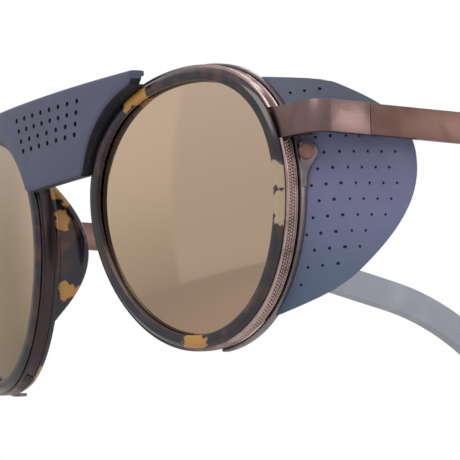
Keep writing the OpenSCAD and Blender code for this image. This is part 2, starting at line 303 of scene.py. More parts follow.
def box(size: Sequence[float], middle: Sequence[float] = (0, 0, 0)) -> bmesh.types.BMesh:
    """Returns a closed box of a size, about its middle."""
    bm = bmesh.new()
    bmesh.ops.create_cube(bm, size=1.0)
    bmesh.ops.scale(bm, verts=bm.verts, vec=size)
    bmesh.ops.translate(bm, verts=bm.verts, vec=middle)
    return bm


def new_object(name: str, data: bpy.types.ID) -> bpy.types.Object:
    """Makes an object from its data and adds it to the scene."""
    made = bpy.data.objects.new(name, data)
    bpy.context.scene.collection.objects.link(made)
    return made


def slice_mesh(bm: bmesh.types.BMesh, axis: Vector, start: float, stop: float, step: float) -> None:
    """Cuts a mesh along evenly spaced planes, so that it can bend.

    Args:
        bm: The mesh.
        axis: The direction that the planes are square to.
        start: The first plane's distance along the axis.
        stop: The last plane's distance.
        step: The distance between planes.
    """
    for i in range(int((stop - start) / step) + 1):
        bmesh.ops.bisect_plane(
            bm, geom=bm.verts[:] + bm.edges[:] + bm.faces[:], dist=1e-5,
            plane_co=axis * (start + i * step), plane_no=axis,
        )


def finish_piece(bm, name: str, matrix: Matrix, finish: "Finish",
                 nodes: Sequence[str], sharp: float = 32.0) -> bpy.types.Object:
    """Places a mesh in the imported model's frame and makes it a named, dressed object.

    Args:
        bm: The mesh, in millimetres; it is freed.
        name: The piece's name.
        matrix: The matrix from the mesh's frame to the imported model's.
        finish: The finish that it gets.
        nodes: The nodes that the piece stands for.
        sharp: Edges steeper than this many degrees stay sharp.

    Returns:
        The new object, which rides on nothing yet.
    """
    bmesh.ops.remove_doubles(bm, verts=bm.verts, dist=MERGE)
    bmesh.ops.recalc_face_normals(bm, faces=bm.faces)
    bm.transform(matrix)
    if matrix.is_negative:
        bmesh.ops.reverse_faces(bm, faces=bm.faces)
    mesh = bpy.data.meshes.new(name)
    bm.to_mesh(mesh)
    bm.free()
    mesh.shade_smooth()
    mesh.set_sharp_from_angle(angle=math.radians(sharp))
    mesh.materials.append(finish.material())
    piece = new_object(name, mesh)
    if nodes:
        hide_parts(*nodes)
    log.info("%s: %d faces", name, len(mesh.polygons))
    return piece


def node_copy(node: str) -> bmesh.types.BMesh:
    """Returns a merged copy of a node's mesh in millimetres, with its flat faces made whole."""
    bm = bmesh.new()
    bm.from_mesh(frame["nodes"][node].data)
    bm.transform(Matrix.Scale(1 / MM, 4))
    bmesh.ops.remove_doubles(bm, verts=bm.verts, dist=1e-3)
    bmesh.ops.dissolve_limit(
        bm, angle_limit=math.radians(0.5), use_dissolve_boundaries=False,
        verts=bm.verts, edges=bm.edges,
    )
    return bm


def machined(node: str, name: str, body: str, finish: "Finish",
             width: float, segments: int = 2, corner: float = 40.0) -> bpy.types.Object:
    """Makes a piece from a node's own shape, with its edges broken as a maker would.

    Args:
        node: The node.
        name: The new piece's name.
        body: The body that it rides on.
        finish: The finish that it gets.
        width: The width of the rounds on its edges.
        segments: How many strips make up each round.
        corner: Only edges steeper than this many degrees are rounded.

    Returns:
        The new object.
    """
    bm = node_copy(node)
    steep = [e for e in bm.edges if len(e.link_faces) == 2
             and e.calc_face_angle(0) > math.radians(corner)]
    bevel_edges(bm, steep, width, segments)
    piece = finish_piece(bm, name, Matrix.Scale(MM, 4), finish, [node])
    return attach(piece, body)


# ---------------------------------------------------------------------------------------------
# Shader helpers and the effects that several materials use
# ---------------------------------------------------------------------------------------------


class Graph:
    """Adds and joins the nodes of one material or node group."""

    def __init__(self, tree: bpy.types.NodeTree) -> None:
        """Keeps the tree that the nodes go in."""
        self.tree = tree

    def feed(self, node: bpy.types.Node, inputs: dict) -> bpy.types.Node:
        """Sets a node's inputs, by name or number, to values or sockets, and returns the node."""
        for key, value in inputs.items():
            if isinstance(value, bpy.types.NodeSocket):
                self.tree.links.new(value, node.inputs[key])
            else:
                node.inputs[key].default_value = value
        return node

    def add(self, kind: str, inputs: dict | None = None, **settings) -> bpy.types.Node:
        """Adds a node.

        Args:
            kind: The node's type.
            inputs: Values or sockets for its inputs, by name or number.
            **settings: Properties of the node itself.

        Returns:
            The node.
        """
        node = self.tree.nodes.new(kind)
        for key, value in settings.items():
            setattr(node, key, value)
        return self.feed(node, inputs or {})

    def math(self, operation: str, *values) -> bpy.types.NodeSocket:
        """Adds a Math node and returns its output."""
        node = self.add("ShaderNodeMath", dict(enumerate(values)), operation=operation)
        return node.outputs[0]

    def ramp(self, value, low: float, high: float) -> bpy.types.NodeSocket:
        """Maps a value smoothly from the stretch between low and high to the stretch from 0 to 1."""
        node = self.add(
            "ShaderNodeMapRange", {"Value": value, "From Min": low, "From Max": high},
            interpolation_type="SMOOTHSTEP",
        )
        return node.outputs["Result"]

    def blend(self, factor, first, second) -> bpy.types.NodeSocket:
        """Mixes two colours and returns the result."""
        mix = self.add("ShaderNodeMix", {0: factor, 6: first, 7: second}, data_type="RGBA")
        return mix.outputs[2]

    def noise(self, vector, scale, detail: float, distortion: float = 0.0) -> bpy.types.NodeSocket:
        """Adds a noise and returns its value."""
        return self.add("ShaderNodeTexNoise", {
            "Vector": vector, "Scale": scale, "Detail": detail, "Distortion": distortion}).outputs[0]

    def bump(self, height, distance: float, strength: float) -> bpy.types.NodeSocket:
        """Adds a bump and returns its normal."""
        return self.add("ShaderNodeBump", {
            "Height": height, "Distance": distance, "Strength": strength}).outputs[0]

    def group(self, tree: bpy.types.NodeTree, **inputs) -> bpy.types.Node:
        """Places a node group on the object's own coordinates."""
        return self.add("ShaderNodeGroup", {"Vector": self.place(), **inputs}, node_tree=tree)

    def place(self) -> bpy.types.NodeSocket:
        """Returns the object's own coordinates."""
        return self.add("ShaderNodeTexCoord").outputs["Object"]


def linear(red: int, green: int, blue: int) -> tuple[float, float, float, float]:
    """Turns a screen colour, from 0 to 255, into a linear one with alpha."""
    def channel(value: int) -> float:
        """Turns one channel."""
        part = value / 255
        return part / 12.92 if part <= 0.04045 else ((part + 0.055) / 1.055) ** 2.4
    return channel(red), channel(green), channel(blue), 1.0


def new_group(name: str, inputs: dict, outputs: dict) -> tuple[Graph, bpy.types.Node, bpy.types.Node]:
    """Makes an empty node group.

    Args:
        name: The group's name.
        inputs: Socket types and default values by name.
        outputs: Socket types by name.

    Returns:
        The group's graph, its input node and its output node.
    """
    tree = bpy.data.node_groups.new(name, "ShaderNodeTree")
    for label, (kind, default) in inputs.items():
        socket = tree.interface.new_socket(name=label, in_out="INPUT", socket_type=kind)
        if default is not None:
            socket.default_value = default
    for label, kind in outputs.items():
        tree.interface.new_socket(name=label, in_out="OUTPUT", socket_type=kind)
    graph = Graph(tree)
    return graph, graph.add("NodeGroupInput"), graph.add("NodeGroupOutput")


class Effects:
    """Node groups for the effects that more than one material uses, each built once."""

    @staticmethod
    @cache
    def grain() -> bpy.types.NodeTree:
        """Pebbled grain, as on leather or moulded rubber: a Height and a colour Mask."""
        graph, given, out = new_group(
            "Grain",
            {"Vector": ("NodeSocketVector", None), "Cells": ("NodeSocketFloat", 2500.0)},
            {"Height": "NodeSocketFloat", "Mask": "NodeSocketFloat"},
        )
        cells, vector = given.outputs["Cells"], given.outputs["Vector"]
        pebbles = graph.add(
            "ShaderNodeTexVoronoi", {"Vector": vector, "Scale": cells, "Randomness": 0.9},
            feature="SMOOTH_F1",
        )
        fine = graph.noise(vector, graph.math("MULTIPLY", cells, 1.7), 4.0)
        broad = graph.noise(vector, graph.math("MULTIPLY", cells, 0.05), 3.0)
        rough = graph.math("MULTIPLY", fine, 0.6)
        height = graph.math("ADD", pebbles.outputs["Distance"], rough)
        graph.feed(out, {"Height": height, "Mask": broad})
        return graph.tree

    @staticmethod
    @cache
    def handling() -> bpy.types.NodeTree:
        """Faint smears and specks left by handling: a Mask from 0, clean, to 1."""
        graph, given, out = new_group(
            "Handling",
            {"Vector": ("NodeSocketVector", None), "Size": ("NodeSocketFloat", 90.0)},
            {"Mask": "NodeSocketFloat"},
        )
        vector, size = given.outputs["Vector"], given.outputs["Size"]
        smear = graph.noise(vector, size, 5.0, 1.5)
        speck = graph.noise(vector, graph.math("MULTIPLY", size, 25.0), 2.0)
        specks = graph.math("MULTIPLY", graph.ramp(speck, 0.66, 0.74), 0.5)
        graph.feed(out, {"Mask": graph.math("ADD", graph.ramp(smear, 0.45, 0.75), specks)})
        return graph.tree

    @staticmethod
    @cache
    def brushing() -> bpy.types.NodeTree:
        """Fine brush lines along a direction set by Stretch: a Height."""
        graph, given, out = new_group(
            "Brushing",
            {"Vector": ("NodeSocketVector", None),
             "Stretch": ("NodeSocketVector", (9000.0, 250.0, 9000.0))},
            {"Height": "NodeSocketFloat"},
        )
        scaled = graph.add(
            "ShaderNodeVectorMath",
            {0: given.outputs["Vector"], 1: given.outputs["Stretch"]}, operation="MULTIPLY",
        )
        graph.feed(out, {"Height": graph.noise(scaled.outputs[0], 1.0, 3.0)})
        return graph.tree

    @staticmethod
    @cache
    def patch() -> bpy.types.NodeTree:
        """One ragged-edged patch round a centre: a Mask from 0, outside, to 1."""
        graph, given, out = new_group(
            "Patch",
            {"Vector": ("NodeSocketVector", None), "Centre": ("NodeSocketVector", None),
             "Radius": ("NodeSocketFloat", 0.003)},
            {"Mask": "NodeSocketFloat"},
        )
        ragged = graph.noise(given.outputs["Vector"], 420.0, 3.0)
        away = graph.add(
            "ShaderNodeVectorMath", {0: given.outputs["Vector"], 1: given.outputs["Centre"]},
            operation="DISTANCE",
        )
        share = graph.math("DIVIDE", away.outputs["Value"], given.outputs["Radius"])
        wavy = graph.math("MULTIPLY_ADD", ragged, 2.0, graph.math("SUBTRACT", share, 1.0))
        graph.feed(out, {"Mask": graph.math("SUBTRACT", 1.0, graph.ramp(wavy, 0.86, 1.06))})
        return graph.tree


# ---------------------------------------------------------------------------------------------
# Finishes
# ---------------------------------------------------------------------------------------------


class Finish:
    """A finish that builds its material once."""

    name: str
    _built: dict[str, bpy.types.Material] = {}

    def material(self) -> bpy.types.Material:
        """Returns the material, and builds it the first time."""
        if self.name not in Finish._built:
            material = bpy.data.materials.new(self.name)
            material.use_nodes = True
            graph = Graph(material.node_tree)
            self.dress(graph, material.node_tree.nodes["Principled BSDF"])
            Finish._built[self.name] = material
        return Finish._built[self.name]

    def dress(self, graph: Graph, shader: bpy.types.Node) -> None:
        """Adds this finish's nodes and sets the shader."""
        raise NotImplementedError

    @staticmethod
    def smears(graph: Graph, size: float) -> bpy.types.NodeSocket:
        """Returns the mask of the smears that handling left."""
        return graph.group(Effects.handling(), Size=size).outputs["Mask"]

    @staticmethod
    def fade(graph: Graph, heights: Sequence[float], colours: Sequence[tuple]) -> bpy.types.NodeSocket:
        """Returns a colour that changes slowly over three heights, from the lowest up."""
        height = graph.add("ShaderNodeSeparateXYZ", {0: graph.place()}).outputs["Z"]
        low, middle, high = (row_point(0, 0, z).z for z in heights)
        lower = graph.blend(graph.ramp(height, low, middle), colours[0], colours[1])
        return graph.blend(graph.ramp(height, middle, high), lower, colours[2])


@dataclass(frozen=True)
class SatinMetal(Finish):
    """Plated metal with a satin surface, brushed if its stretch says so."""

    name: str
    colour: tuple
    tarnish: tuple
    roughness: float
    bump: float = 0.000004
    stretch: tuple = (9000.0, 250.0, 9000.0)

    def dress(self, graph: Graph, shader: bpy.types.Node) -> None:
        """Adds brush lines, faint tarnish and smears."""
        smears = self.smears(graph, 110.0)
        lines = graph.group(Effects.brushing(), Stretch=self.stretch).outputs["Height"]
        rough = graph.math("MULTIPLY_ADD", smears, 0.10, self.roughness)
        graph.feed(shader, {
            "Metallic": 1.0, "Specular IOR Level": 0.5,
            "Base Color": graph.blend(smears, self.colour, self.tarnish),
            "Roughness": graph.math("MULTIPLY_ADD", lines, 0.12, rough),
            "Normal": graph.bump(lines, self.bump, 1.0),
        })


@dataclass(frozen=True)
class NasalShadeRing(SatinMetal):
    """The rings' metal, with painted shade that darkens it towards the nose."""

    nasal_shade: tuple = linear(74, 64, 66)

    def dress(self, graph: Graph, shader: bpy.types.Node) -> None:
        """Adds the satin metal, then painted shade that darkens its colour towards the middle of the
        glasses.
        """
        super().dress(graph, shader)
        bright = shader.inputs["Base Color"].links[0].from_socket
        across = graph.add("ShaderNodeSeparateXYZ", {0: graph.place()}).outputs["X"]
        # Painted shade mask: 0 towards the nose, 1 further out.
        outward = graph.ramp(graph.math("ABSOLUTE", across), 0.024, 0.050)
        graph.tree.links.new(graph.blend(outward, self.nasal_shade, bright), shader.inputs["Base Color"])


@dataclass(frozen=True)
class Tortoise(Finish):
    """Polished tortoiseshell acetate: near-black depths with amber and cream patches."""

    name: str
    patches: tuple
    side: Side
    dark: tuple = linear(26, 22, 34)
    brown: tuple = linear(74, 48, 36)
    amber: tuple = linear(176, 128, 58)
    cream: tuple = linear(166, 146, 122)

    def dress(self, graph: Graph, shader: bpy.types.Node) -> None:
        """Adds the mottled depths, then each patch at its own place on the rim."""
        mottle = graph.noise(graph.place(), 130.0, 4.0, 1.2)
        colour = graph.blend(graph.ramp(mottle, 0.47, 0.72), self.dark, self.brown)
        for angle, out, depth, radius, light in self.patches:
            centre = rim_matrix(self.side) @ RIM.on_rim(math.radians(angle), out, depth)
            patch = graph.group(Effects.patch(), Centre=centre, Radius=radius * MM)
            colour = graph.blend(patch.outputs["Mask"], colour, self.cream if light else self.amber)
        graph.feed(shader, {
            "Metallic": 0.0, "IOR": 1.47, "Coat Weight": 0.35, "Coat Roughness": 0.06,
            "Base Color": colour,
            "Roughness": graph.math("MULTIPLY_ADD", self.smears(graph, 140.0), 0.10, 0.14),
        })


@dataclass(frozen=True)
class Leather(Finish):
    """Smooth slate leather with a fine grain, and painted light that changes its colour from top to bottom,
    a little warmer at its middle.
    """

    name: str
    top: tuple
    middle: tuple
    bottom: tuple
    cells: float = 2300.0
    grain: float = 0.00003
    roughness: float = 0.58

    def dress(self, graph: Graph, shader: bpy.types.Node) -> None:
        """Adds painted light, a slow change of colour from top to bottom, then its cloudiness and the
        grain.
        """
        # Painted light: the colour fades over three heights, as light falls on the leather.
        painted_light = self.fade(graph, (-22.0, 0.0, 20.0), (self.bottom, self.middle, self.top))
        grain = graph.group(Effects.grain(), Cells=self.cells)
        cloudy = graph.add("ShaderNodeHueSaturation", {
            "Color": painted_light, "Value": graph.math("MULTIPLY_ADD", grain.outputs["Mask"], 0.24, 0.88)})
        smears = self.smears(graph, 120.0)
        graph.feed(shader, {
            "Metallic": 0.0, "IOR": 1.45, "Sheen Weight": 0.08, "Sheen Roughness": 0.5,
            "Base Color": cloudy.outputs[0],
            "Roughness": graph.math("MULTIPLY_ADD", smears, -0.10, self.roughness),
            "Normal": graph.bump(grain.outputs["Height"], self.grain, 0.55),
        })


@dataclass(frozen=True)
class MirrorCoat(Finish):
    """A bronze mirror-coated lens, lightest at its top."""

    name: str
    top: tuple = linear(209, 183, 158)
    band: tuple = linear(198, 172, 145)
    bottom: tuple = linear(180, 152, 127)

    def dress(self, graph: Graph, shader: bpy.types.Node) -> None:
        """Adds the coat's slow colour change and faint smears."""
        graph.feed(shader, {
            "Metallic": 1.0, "Coat Weight": 0.3, "Coat Roughness": 0.02,
            "Base Color": self.fade(graph, (-24.0, -9.0, 22.0), (self.bottom, self.band, self.top)),
            "Roughness": graph.math("MULTIPLY_ADD", self.smears(graph, 60.0), 0.05, 0.05),
        })


@dataclass(frozen=True)
class SoftRubber(Finish):
    """Soft matte rubber with a fine moulded grain."""

    name: str
    colour: tuple
    worn: tuple

    def dress(self, graph: Graph, shader: bpy.types.Node) -> None:
        """Adds the moulded grain and a little polish where fingers hold it."""
        grain = graph.group(Effects.grain(), Cells=4200.0)
        smears = self.smears(graph, 70.0)
        graph.feed(shader, {
            "Metallic": 0.0, "IOR": 1.5,
            "Base Color": graph.blend(smears, self.colour, self.worn),
            "Roughness": graph.math("MULTIPLY_ADD", smears, -0.12, 0.62),
            "Normal": graph.bump(grain.outputs["Height"], 0.00002, 0.4),
        })


BRONZE = SatinMetal("Satin_rose_bronze", linear(124, 97, 88), linear(112, 86, 79), 0.27)
SHADED_BRONZE = SatinMetal("Shaded_bronze", linear(126, 104, 101), linear(108, 90, 88), 0.25)
RING_BRONZE = NasalShadeRing("Ring_bronze", linear(188, 164, 158), linear(140, 120, 116), 0.24)
DARK_BRONZE = SatinMetal("Dark_bronze", linear(140, 130, 132), linear(112, 104, 106), 0.30)
COPPER = SatinMetal("Satin_copper", linear(150, 112, 104), linear(126, 92, 87), 0.34)
# Painted light: each leather's colours by height copy how light falls on it; the shield is lightest at its
# middle, the cover at its top.
SHIELD_LEATHER = Leather(
    "Slate_leather", linear(88, 93, 108), linear(106, 107, 142), linear(78, 94, 116))
COVER_LEATHER = Leather(
    "Moulded_leather", linear(77, 80, 102), linear(70, 73, 94), linear(66, 69, 90))
# Painted shade: near-black for the bridge cover's side walls and the strips beside the rims, where shade
# falls.
EDGE_SHADE = Leather("Painted_edge_shade", linear(24, 23, 32), linear(22, 21, 29), linear(20, 19, 27))
# Painted shade: near-black for the sheet inside the shield's holes, in place of the shade seen through
# them.
HOLE_SHADE = Leather("Painted_hole_shade", linear(30, 30, 40), linear(30, 30, 42), linear(26, 30, 38))
MIRROR = MirrorCoat("Bronze_mirror")
RUBBER = SoftRubber("Slate_rubber", linear(150, 154, 164), linear(160, 164, 173))

# Each patch: its angle on the rim in degrees, how far out, its depth, its radius, and if it is cream
LEFT_PATCHES = (
    (115, 1.9, -1.2, 3.3, False), (4, 2.4, -0.9, 2.7, True), (-9, 2.4, -0.9, 3.3, True),
    (-92, 1.8, -1.2, 3.6, False), (162, 1.4, 4.2, 3.2, False), (186, 2.2, 7.0, 2.2, False),
    (-48, 1.6, 3.9, 2.6, True),
)
RIGHT_PATCHES = (
    (157, 1.4, 4.4, 3.6, False), (172, 1.7, 4.9, 2.1, False), (202, 2.0, 5.6, 2.2, False),
    (98, 1.4, -1.1, 3.4, False), (20, 1.9, -1.0, 3.0, True), (-60, 1.6, -1.1, 3.4, False),
    (-110, 1.2, 3.0, 2.8, False),
)


# ---------------------------------------------------------------------------------------------
# The sub-assemblies
# ---------------------------------------------------------------------------------------------


@dataclass
class MirroredLens:
    """A domed lens with a mirror coat."""

    side: Side
    edge_out: float = 0.8
    edge_depth: float = 0.1
    curve: float = 150.0
    thickness: float = 2.0
    cells: int = 64

    def build(self) -> bpy.types.Object:
        """Makes the lens from a flat grid that is rounded, domed and thickened."""
        bm = bmesh.new()
        bmesh.ops.create_grid(bm, x_segments=self.cells, y_segments=self.cells, size=1.0)
        edge = RIM.mean_radius + self.edge_out
        for v in bm.verts:
            x, y = v.co.x, v.co.y
            u, w = x * math.sqrt(1 - y * y / 2), y * math.sqrt(1 - x * x / 2)
            radius = math.hypot(u, w) * (RIM.opening(math.atan2(w, u)) + self.edge_out)
            turn = math.atan2(w, u)
            rise = math.sqrt(self.curve ** 2 - radius ** 2) - math.sqrt(self.curve ** 2 - edge ** 2)
            v.co = Vector((radius * math.cos(turn), self.edge_depth - rise, radius * math.sin(turn)))
        bmesh.ops.recalc_face_normals(bm, faces=bm.faces)
        if bm.faces[0].normal.y > 0:
            bmesh.ops.reverse_faces(bm, faces=bm.faces)
        bmesh.ops.solidify(bm, geom=bm.faces[:], thickness=self.thickness)
        letter = self.side.letter
        piece = finish_piece(
            bm, f"mirrored_lens_{letter}", rim_matrix(self.side), MIRROR, [f"lens_{letter}"])
        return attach(piece, "front")


@dataclass
class AcetateRim:
    """A tortoise rim with a slot for the lens and a nose pad grown out of its back."""

    side: Side
    rounding: float = 0.16
    section: Section = (
        (0.0, -1.1), (0.2, -1.3), (1.7, -1.3), (2.5, -0.6), (2.5, -0.36), (1.8, -0.36),
        (1.8, 2.66), (2.4, 2.66), (2.4, 3.7), (0.0, 3.7), (0.0, 2.3), (0.9, 2.3),
        (0.9, -0.2), (0.0, -0.2),
    )
    pad_from: float = math.radians(150)
    pad_to: float = math.radians(222)
    pad_base: tuple[float, float] = (1.1, 3.05)
    pad_reach: tuple[float, float] = (1.9, 5.3)
    base_radius: float = 0.55
    crest_radius: float = 1.25

    def nose_pad(self) -> bmesh.types.BMesh:
        """Makes the pad: a grid rolled into a fin that swells from the rim and dies back into it."""
        bm = bmesh.new()
        bmesh.ops.create_grid(bm, x_segments=48, y_segments=28, size=1.0)
        reach = math.hypot(*self.pad_reach)
        along = Vector((self.pad_reach[0] / reach, self.pad_reach[1] / reach))
        for v in bm.verts:
            share = (v.co.x + 1) / 2
            roll = v.co.y * math.pi
            angle = self.pad_from + (self.pad_to - self.pad_from) * share
            swell = math.sin(math.pi * share) ** 1.25
            toward_crest = (1 + math.cos(roll)) / 2
            width = self.base_radius + (self.crest_radius - self.base_radius) * toward_crest * swell
            ahead = reach * swell * toward_crest + width * math.cos(roll)
            across = width * math.sin(roll)
            out = self.pad_base[0] + ahead * along.x + across * along.y
            depth = self.pad_base[1] + ahead * along.y - across * along.x
            v.co = RIM.on_rim(angle, out, depth)
        bmesh.ops.remove_doubles(bm, verts=bm.verts, dist=MERGE)
        bmesh.ops.holes_fill(bm, edges=[e for e in bm.edges if e.is_boundary], sides=0)
        bmesh.ops.recalc_face_normals(bm, faces=bm.faces)
        return bm

    def build(self) -> bpy.types.Object:
        """Makes the rim and joins its pad to it."""
        rim = spin_on_rim(self.section, self.rounding)
        bm = join_shapes(rim, self.nose_pad(), Join.UNION)
        letter = self.side.letter
        patches = LEFT_PATCHES if self.side is Side.LEFT else RIGHT_PATCHES
        finish = Tortoise(f"Tortoise_acetate_{letter}", patches, self.side)
        piece = finish_piece(
            bm, f"tortoise_rim_{letter}", rim_matrix(self.side), finish,
            [f"acetate_rim_{letter}"])
        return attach(piece, "front")


@dataclass
class BeadedRing:
    """A metal ring with rows of small beads, notched for the endpiece."""

    side: Side
    section: Section = (
        (1.84, -0.3), (2.98, -0.3), (3.14, -0.14), (3.14, 0.2), (2.98, 0.36), (2.76, 0.36),
        (2.76, 2.36), (2.96, 2.42), (2.96, 2.6), (1.84, 2.6),
    )
    bead_rows: tuple = ((0.68, 0.33), (1.26, 0.33), (1.94, 0.26))
    bead_pitch: float = 0.63
    bead_out: float = 2.82
    notch_size: tuple[float, float, float] = (14.0, 2.6, 6.3)
    notch_at: tuple[float, float, float] = (30.0, 0.35, 12.15)
    beads_from: float = math.radians(-110)
    beads_to: float = math.radians(18.5)

    def add_beads(self, bm: bmesh.types.BMesh) -> None:
        """Adds the rows of beads below the endpiece, each row half a step from the last."""
        sweep = self.beads_to - self.beads_from
        count = round(sweep * (RIM.mean_radius + 2.8) / self.bead_pitch)
        for row, (depth, radius) in enumerate(self.bead_rows):
            for i in range(count):
                angle = self.beads_from + sweep * (i + row / 2) / count
                centre = RIM.on_rim(angle, self.bead_out, depth)
                bmesh.ops.create_icosphere(
                    bm, subdivisions=2, radius=radius, matrix=Matrix.Translation(centre))

    def build(self) -> bpy.types.Object:
        """Makes the ring, cuts its notch and adds the beads."""
        notch = box(self.notch_size, self.notch_at)
        bm = join_shapes(spin_on_rim(self.section, 0.05), notch, Join.DIFFERENCE)
        self.add_beads(bm)
        letter = self.side.letter
        piece = finish_piece(
            bm, f"beaded_ring_{letter}", rim_matrix(self.side), RING_BRONZE,
            [f"metal_ring_{letter}"])
        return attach(piece, "front")


@dataclass
class ShieldLeather:
    """A side shield: one leather leaf from the rim to behind the hinge, punched with holes."""

    side: Side
    rim_out: float = 1.3
    rim_depth: float = 3.86
    rim_end: float = math.radians(66)
    flat_x: float = 66.3
    flat_y: float = 18.6
    bend_from: float = 16.8
    bend_to: float = 22.8
    thickness: float = 1.0
    hole_shade_thickness: float = 0.3
    hole_shade_inset: float = 0.35
    cell: float = 1.4
    hole_radius: float = 0.31
    top_row: float = 18.0
    row_step: float = 3.05
    row_count: int = 13
    hole_pitch: float = 3.24
    most_in_row: int = 8
    row_lean: float = 0.1
    level_row: int = 4
    margin_high: float = 4.9
    margin_low: float = 4.0
    high_above: float = 2.0
    rim_margin: float = 1.2
    rivet_height: float = 6.4
    rivet_clear: tuple[float, float] = (14.6, 3.4)
    moulding: float = 0.65
    last_hole: float = 31.2
    upper_edge: tuple = ((14.0, 18.2), (36.5, 17.5), (36.2, 4.5))
    lower_edge: tuple = ((36.2, 4.5), (36.4, -6.0), (25.0, -14.5))

    @staticmethod
    def curve(points: tuple, count: int) -> list[tuple[float, float]]:
        """Returns points along a smooth curve that four points steer."""
        found = []
        for i in range(count + 1):
            t = i / count
            weights = ((1 - t) ** 3, 3 * (1 - t) ** 2 * t, 3 * (1 - t) * t * t, t ** 3)
            found.append(tuple(sum(w * p[k] for w, p in zip(weights, points)) for k in (0, 1)))
        return found

    def rim_edge(self, height: float) -> Vector:
        """Returns where the leaf meets the rim at a height, by halving the angle's range."""
        low, high = -math.radians(80), math.radians(80)
        for _ in range(40):
            angle = (low + high) / 2
            point = RIM.on_rim(angle, self.rim_out, self.rim_depth)
            low, high = (angle, high) if point.z < height else (low, angle)
        return RIM.in_front(point)

    def surface_x(self, y: float, z: float) -> float:
        """Returns how far from the middle the leaf lies: it eases from the rim out to a flat side."""
        start = self.rim_edge(z)
        share = min(max((y - start.y) / (self.flat_y - start.y), 0.0), 1.0)
        return start.x + (self.flat_x - start.x) * share * (1.5 - 0.5 * share * share)

    def depth_at(self, length: float, z: float) -> float:
        """Returns the depth of a point of the flat pattern, once the leaf is moulded.

        Args:
            length: The distance along the pattern, equal to the depth where the leaf is flat.
            z: The height.
        """
        y, x, left = self.flat_y, self.flat_x, self.flat_y - length
        if left <= 0:
            return length
        step = 0.1
        while left > 0:
            nearer = self.surface_x(y - step, z)
            left -= step + self.moulding * (x - nearer)
            y, x = y - step, nearer
        return y

    def foreshortening(self, y: float, z: float) -> float:
        """Returns how much shorter a step in depth is than the same step along the bent leather."""
        step = 0.2
        return step / math.hypot(step, self.surface_x(y + step, z) - self.surface_x(y, z))

    def rim_points(self, steps: int = 44) -> list[Vector]:
        """Returns points along the rim edge, from its lower end to its upper end."""
        angles = [-self.rim_end + 2 * self.rim_end * i / steps for i in range(steps + 1)]
        return [RIM.in_front(RIM.on_rim(a, self.rim_out, self.rim_depth)) for a in angles]

    def free_edge(self) -> list[tuple[float, float]]:
        """Returns the free edge as (depth, height), from the rim's upper end round to its lower end."""
        bottom, *_, top = self.rim_points()
        upper = self.curve(((top.y, top.z), *self.upper_edge), 26)
        lower = self.curve((*self.lower_edge, (bottom.y, bottom.z)), 26)
        return upper + lower[1:]

    def outline(self) -> list[Vector]:
        """Returns the flat leaf's outline, seen from the side: the rim edge, then the free edge."""
        rim = [Vector((0, p.y, p.z)) for p in self.rim_points()]
        return rim + [Vector((0, y, z)) for y, z in self.free_edge()[1:-1]]

    def edge_depth(self, z: float) -> float:
        """Returns the depth of the free edge at a height."""
        return min(self.free_edge(), key=lambda p: abs(p[1] - z))[0]

    def is_clear(self, y: float, z: float) -> bool:
        """Tells whether a hole there stays clear of the free edge, the rim and the rivet."""
        margin = self.margin_high if z > self.high_above else self.margin_low
        depth, height = self.rivet_clear
        beside_rivet = abs(z - self.rivet_height) < height and y < depth
        within = self.rim_edge(z).y + self.rim_margin <= y <= self.edge_depth(z) - margin
        return within and not beside_rivet

    def holes(self) -> bmesh.types.BMesh:
        """Makes the punches: a staggered field that stays clear of the edges and the rivet."""
        bm = bmesh.new()
        for row in range(self.row_count):
            z = self.top_row - self.row_step * row
            last = self.last_hole - self.row_lean * (row - self.level_row) - self.hole_pitch / 2 * (row % 2)
            for i in range(self.most_in_row):
                y = self.depth_at(last - self.hole_pitch * i, z)
                if not self.is_clear(y, z):
                    continue
                narrow = Matrix.Diagonal((1, self.foreshortening(y, z), 1, 1))
                placing = Matrix.Translation((0.5, y, z)) @ narrow @ Matrix.Rotation(math.pi / 2, 4, "Y")
                add_cylinder(bm, self.hole_radius, 3.0, placing, segments=14)
        return bm

    def punched(self) -> bmesh.types.BMesh:
        """Makes the flat leaf with its holes, as a sheet of no thickness."""
        bm = bmesh.new()
        extrude_face(bm, outline_face(bm, self.outline()), Vector((1, 0, 0)))
        bm = join_shapes(bm, self.holes(), Join.DIFFERENCE)
        other = [f for f in bm.faces if any(v.co.x < 0.999 for v in f.verts)]
        bmesh.ops.delete(bm, geom=other, context="FACES")
        return bm

    def hole_shade_sheet(self) -> bmesh.types.BMesh:
        """Makes the dark sheet of painted shade that closes the holes inside the leaf, a little smaller all
        round.
        """
        bm = bmesh.new()
        face = outline_face(bm, self.outline())
        border = bmesh.ops.inset_region(
            bm, faces=[face], thickness=self.hole_shade_inset, use_boundary=True, use_even_offset=True)
        bmesh.ops.delete(bm, geom=border["faces"], context="FACES")
        return bm

